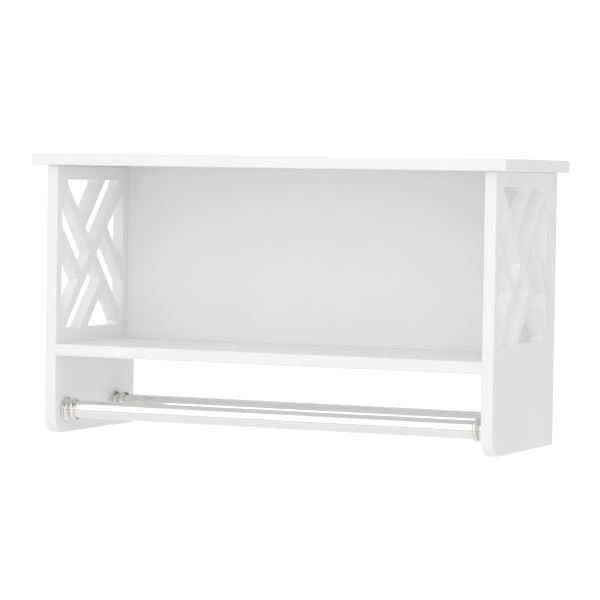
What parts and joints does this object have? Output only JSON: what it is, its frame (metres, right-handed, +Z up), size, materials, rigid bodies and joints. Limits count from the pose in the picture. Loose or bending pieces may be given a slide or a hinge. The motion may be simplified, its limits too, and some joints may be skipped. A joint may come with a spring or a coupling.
{
  "type": "wall shelf with towel rods",
  "caption": "Wall-hung bath shelf: white top board on pierced lattice side panels, closed back, lower shelf, and metal towel rods in turned sockets below.",
  "frame": {"origin": "centre of the top board's rear edge, halfway up its thickness, on the wall's face", "axes": "+X to the right along the shelf, +Y into the wall, +Z up"},
  "size_m": [0.686, 0.246, 0.382],
  "materials": {
    "painted_board": "satin white paint over fibreboard",
    "rod_nickel": "bright nickel plate",
    "socket_nickel": "bright nickel plate",
    "cam_zinc": "cast zinc",
    "bolt_steel": "zinc-plated steel",
    "dowel_beech": "plain beech",
    "screw_steel": "zinc-plated steel",
    "hanger_steel": "zinc-plated sheet",
    "cap_plastic": "white plastic"
  },
  "bodies": {
    "frame": {"top_board": "painted_board", "left_side_panel": "painted_board", "right_side_panel": "painted_board", "lower_shelf": "painted_board", "back_panel": "painted_board", "front_left_rod_socket": "socket_nickel", "front_right_rod_socket": "socket_nickel", "rear_left_rod_socket": "socket_nickel", "rear_right_rod_socket": "socket_nickel", "shelf_cam_locks": "cam_zinc", "back_cam_locks": "cam_zinc", "shelf_cam_bolts": "bolt_steel", "back_cam_bolts": "bolt_steel", "shelf_dowels": "dowel_beech", "back_dowels": "dowel_beech", "top_dowels": "dowel_beech", "back_panel_screws": "screw_steel", "top_screws": "screw_steel", "rod_socket_screws": "screw_steel", "wall_hanger_screws": "screw_steel", "left_wall_hanger": "hanger_steel", "right_wall_hanger": "hanger_steel", "top_screw_caps": "cap_plastic"},
    "front_rod": {"front_towel_rod": "rod_nickel"},
    "rear_rod": {"rear_towel_rod": "rod_nickel"}
  },
  "joints": [
    {"name": "front_rod_spin", "type": "hinge", "parent": "frame", "child": "front_rod", "pos_m": [0, -0.2005, -0.3415], "axis": [1, 0, 0], "continuous": true},
    {"name": "rear_rod_spin", "type": "hinge", "parent": "frame", "child": "rear_rod", "pos_m": [0, -0.0565, -0.3415], "axis": [1, 0, 0], "continuous": true}
  ]
}
